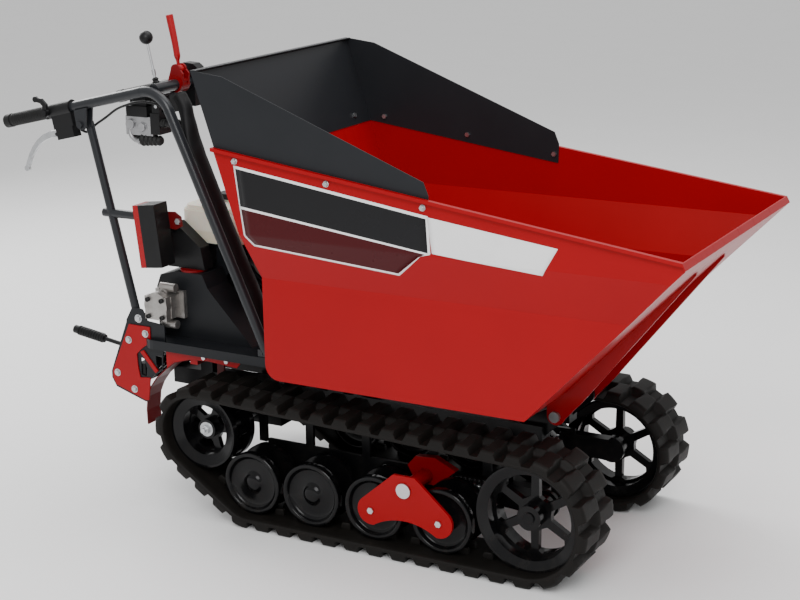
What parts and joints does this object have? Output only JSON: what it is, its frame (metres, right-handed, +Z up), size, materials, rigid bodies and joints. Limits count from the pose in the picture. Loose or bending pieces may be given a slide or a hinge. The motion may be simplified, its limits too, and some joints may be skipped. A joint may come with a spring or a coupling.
{
  "type": "tracked power carrier",
  "caption": "Walk-behind tracked power carrier with rubber tracks, a forward-tipping open skip with extension boards, and bent tubular handlebars with control levers.",
  "frame": {"origin": "on the ground, under the middle of the machine's length and width", "axes": "+X forward to the tipping lip, +Y to the machine's left, +Z up"},
  "size_m": [2.0523, 0.788, 1.3327],
  "materials": {
    "red_paint": "gloss",
    "dark_red_paint": "satin",
    "charcoal_paint": "satin",
    "black_paint": "satin",
    "track_rubber": "matte",
    "zinc_steel": "satin",
    "cast_alu": "satin",
    "tank_plastic": "matte",
    "black_plastic": "matte",
    "red_plastic": "gloss",
    "grip_rubber": "matte"
  },
  "bodies": {
    "chassis": {"chassis_frame": "black_paint", "deck": "charcoal_paint", "rear_plates": "red_paint", "mudguards": "dark_red_paint", "track_right": "track_rubber", "track_left": "track_rubber", "idler_forks": "black_paint", "tension_springs": "zinc_steel", "bogie_brackets": "red_paint", "gearbox": "black_paint", "hinge_pins": "zinc_steel", "engine_block": "black_paint", "engine_cowl": "charcoal_paint", "recoil_starter": "dark_red_paint", "fuel_tank": "tank_plastic", "air_filter": "black_plastic", "muffler": "charcoal_paint", "belt_cover": "charcoal_paint", "gear_pump": "cast_alu", "oil_tank": "charcoal_paint", "control_box": "black_plastic", "box_cover": "red_plastic", "handlebar": "charcoal_paint", "bar_struts": "charcoal_paint", "grips": "grip_rubber", "lever_clamps": "black_plastic", "valve_block": "cast_alu", "lever_bracket": "dark_red_paint", "hoses": "grip_rubber"},
    "skip": {"skip_tub": "red_paint", "skip_ribs": "red_paint", "board_right": "charcoal_paint", "board_left": "charcoal_paint", "board_rear": "charcoal_paint", "board_bolts": "zinc_steel", "side_panels": "charcoal_paint"},
    "lift_barrel_body": {"lift_barrel": "black_paint"},
    "lift_rod_body": {"lift_rod": "zinc_steel"},
    "fuel_cap_body": {"fuel_cap": "black_plastic"},
    "key": {"ignition_key": "black_plastic"},
    "throttle": {"throttle_lever": "black_plastic"},
    "valve_stick": {"valve_lever": "black_plastic"},
    "drive_stick": {"drive_lever": "red_plastic"},
    "gear_stick": {"gear_lever": "charcoal_paint"},
    "drive_sprocket_right_body": {"drive_sprocket_right": "black_paint"},
    "idler_right_body": {"idler_right": "black_paint"},
    "road_wheel_1_right_body": {"road_wheel_1_right": "black_paint"},
    "road_wheel_2_right_body": {"road_wheel_2_right": "black_paint"},
    "road_wheel_3_right_body": {"road_wheel_3_right": "black_paint"},
    "road_wheel_4_right_body": {"road_wheel_4_right": "black_paint"},
    "bogie_right_body": {"bogie_right": "red_paint"},
    "brake_right": {"brake_lever_right": "zinc_steel"},
    "drive_sprocket_left_body": {"drive_sprocket_left": "black_paint"},
    "idler_left_body": {"idler_left": "black_paint"},
    "road_wheel_1_left_body": {"road_wheel_1_left": "black_paint"},
    "road_wheel_2_left_body": {"road_wheel_2_left": "black_paint"},
    "road_wheel_3_left_body": {"road_wheel_3_left": "black_paint"},
    "road_wheel_4_left_body": {"road_wheel_4_left": "black_paint"},
    "bogie_left_body": {"bogie_left": "red_paint"},
    "brake_left": {"brake_lever_left": "zinc_steel"}
  },
  "joints": [
    {"name": "skip_tip", "type": "hinge", "parent": "chassis", "child": "skip", "pos_m": [0.592, 0, 0.362], "axis": [0, 1, 0], "range_deg": [0, 75]},
    {"name": "lift_swing", "type": "hinge", "parent": "chassis", "child": "lift_barrel_body", "pos_m": [0.285, 0, 0.19], "axis": [0, 1, 0], "range_deg": [-3, 0]},
    {"name": "lift_stroke", "type": "slide", "parent": "lift_barrel_body", "child": "lift_rod_body", "axis": [0.7382, 0, 0.6745], "range_m": [0, 0.1345]},
    {"name": "drive_sprocket_spin_right", "type": "hinge", "parent": "chassis", "child": "drive_sprocket_right_body", "pos_m": [-0.348, -0.276, 0.24], "axis": [0, 1, 0], "continuous": true},
    {"name": "idler_spin_right", "type": "hinge", "parent": "chassis", "child": "idler_right_body", "pos_m": [0.618, -0.276, 0.17], "axis": [0, 1, 0], "continuous": true},
    {"name": "road_wheel_1_spin_right", "type": "hinge", "parent": "chassis", "child": "road_wheel_1_right_body", "pos_m": [-0.194, -0.276, 0.116], "axis": [0, 1, 0], "continuous": true},
    {"name": "road_wheel_2_spin_right", "type": "hinge", "parent": "chassis", "child": "road_wheel_2_right_body", "pos_m": [-0.009, -0.276, 0.116], "axis": [0, 1, 0], "continuous": true},
    {"name": "road_wheel_3_spin_right", "type": "hinge", "parent": "bogie_right_body", "child": "road_wheel_3_right_body", "pos_m": [0.182, -0.276, 0.116], "axis": [0, 1, 0], "continuous": true},
    {"name": "road_wheel_4_spin_right", "type": "hinge", "parent": "bogie_right_body", "child": "road_wheel_4_right_body", "pos_m": [0.378, -0.276, 0.116], "axis": [0, 1, 0], "continuous": true},
    {"name": "bogie_rock_right", "type": "hinge", "parent": "chassis", "child": "bogie_right_body", "pos_m": [0.28, -0.3, 0.188], "axis": [0, 1, 0], "range_deg": [-3, 3], "deforming": ["track_right"]},
    {"name": "brake_pull_right", "type": "hinge", "parent": "chassis", "child": "brake_right", "pos_m": [-0.838, -0.25, 1.006], "axis": [0, 1, 0], "range_deg": [0, 20], "stiffness_Nm_per_rad": 1.5, "springref_deg": -17.19},
    {"name": "drive_sprocket_spin_left", "type": "hinge", "parent": "chassis", "child": "drive_sprocket_left_body", "pos_m": [-0.348, 0.276, 0.24], "axis": [0, 1, 0], "continuous": true},
    {"name": "idler_spin_left", "type": "hinge", "parent": "chassis", "child": "idler_left_body", "pos_m": [0.618, 0.276, 0.17], "axis": [0, 1, 0], "continuous": true},
    {"name": "road_wheel_1_spin_left", "type": "hinge", "parent": "chassis", "child": "road_wheel_1_left_body", "pos_m": [-0.194, 0.276, 0.116], "axis": [0, 1, 0], "continuous": true},
    {"name": "road_wheel_2_spin_left", "type": "hinge", "parent": "chassis", "child": "road_wheel_2_left_body", "pos_m": [-0.009, 0.276, 0.116], "axis": [0, 1, 0], "continuous": true},
    {"name": "road_wheel_3_spin_left", "type": "hinge", "parent": "bogie_left_body", "child": "road_wheel_3_left_body", "pos_m": [0.182, 0.276, 0.116], "axis": [0, 1, 0], "continuous": true},
    {"name": "road_wheel_4_spin_left", "type": "hinge", "parent": "bogie_left_body", "child": "road_wheel_4_left_body", "pos_m": [0.378, 0.276, 0.116], "axis": [0, 1, 0], "continuous": true},
    {"name": "bogie_rock_left", "type": "hinge", "parent": "chassis", "child": "bogie_left_body", "pos_m": [0.28, 0.3, 0.188], "axis": [0, 1, 0], "range_deg": [-3, 3], "deforming": ["track_left"]},
    {"name": "brake_pull_left", "type": "hinge", "parent": "chassis", "child": "brake_left", "pos_m": [-0.838, 0.25, 1.006], "axis": [0, 1, 0], "range_deg": [0, 20], "stiffness_Nm_per_rad": 1.5, "springref_deg": -17.19},
    {"name": "key_turn", "type": "hinge", "parent": "chassis", "child": "key", "pos_m": [-0.5927, -0.22, 0.7129], "axis": [0.994, 0, 0.1097], "range_deg": [0, 90]},
    {"name": "fuel_cap_turn", "type": "hinge", "parent": "chassis", "child": "fuel_cap_body", "pos_m": [-0.45, 0, 0.812], "axis": [0, 0, 1], "range_deg": [0, 90]},
    {"name": "throttle_turn", "type": "hinge", "parent": "chassis", "child": "throttle", "pos_m": [-0.863, -0.276, 1.0646], "axis": [0, 1, 0], "range_deg": [0, 25]},
    {"name": "valve_push", "type": "hinge", "parent": "chassis", "child": "valve_stick", "pos_m": [-0.54, -0.18, 1.0926], "axis": [0, 1, 0], "range_deg": [-14, 6], "stiffness_Nm_per_rad": 6},
    {"name": "drive_engage", "type": "hinge", "parent": "chassis", "child": "drive_stick", "pos_m": [-0.516, -0.125, 1.1846], "axis": [0, 1, 0], "range_deg": [-20, 10]},
    {"name": "gear_shift", "type": "hinge", "parent": "chassis", "child": "gear_stick", "pos_m": [-0.56, -0.2, 0.382], "axis": [0, 1, 0], "range_deg": [-6, 6]}
  ],
  "couplings": [
    {"joint": "lift_swing", "follows": "skip_tip", "ratio": -0.0264},
    {"joint": "lift_stroke", "follows": "skip_tip", "m_per_rad": 0.1022},
    {"joint": "drive_sprocket_spin_right", "follows": "idler_spin_right", "ratio": 1.3394},
    {"joint": "road_wheel_1_spin_right", "follows": "idler_spin_right", "ratio": 1.6977},
    {"joint": "road_wheel_2_spin_right", "follows": "idler_spin_right", "ratio": 1.6977},
    {"joint": "road_wheel_3_spin_right", "follows": "idler_spin_right", "ratio": 1.6977},
    {"joint": "road_wheel_4_spin_right", "follows": "idler_spin_right", "ratio": 1.6977},
    {"joint": "drive_sprocket_spin_left", "follows": "idler_spin_left", "ratio": 1.3394},
    {"joint": "road_wheel_1_spin_left", "follows": "idler_spin_left", "ratio": 1.6977},
    {"joint": "road_wheel_2_spin_left", "follows": "idler_spin_left", "ratio": 1.6977},
    {"joint": "road_wheel_3_spin_left", "follows": "idler_spin_left", "ratio": 1.6977},
    {"joint": "road_wheel_4_spin_left", "follows": "idler_spin_left", "ratio": 1.6977}
  ]
}
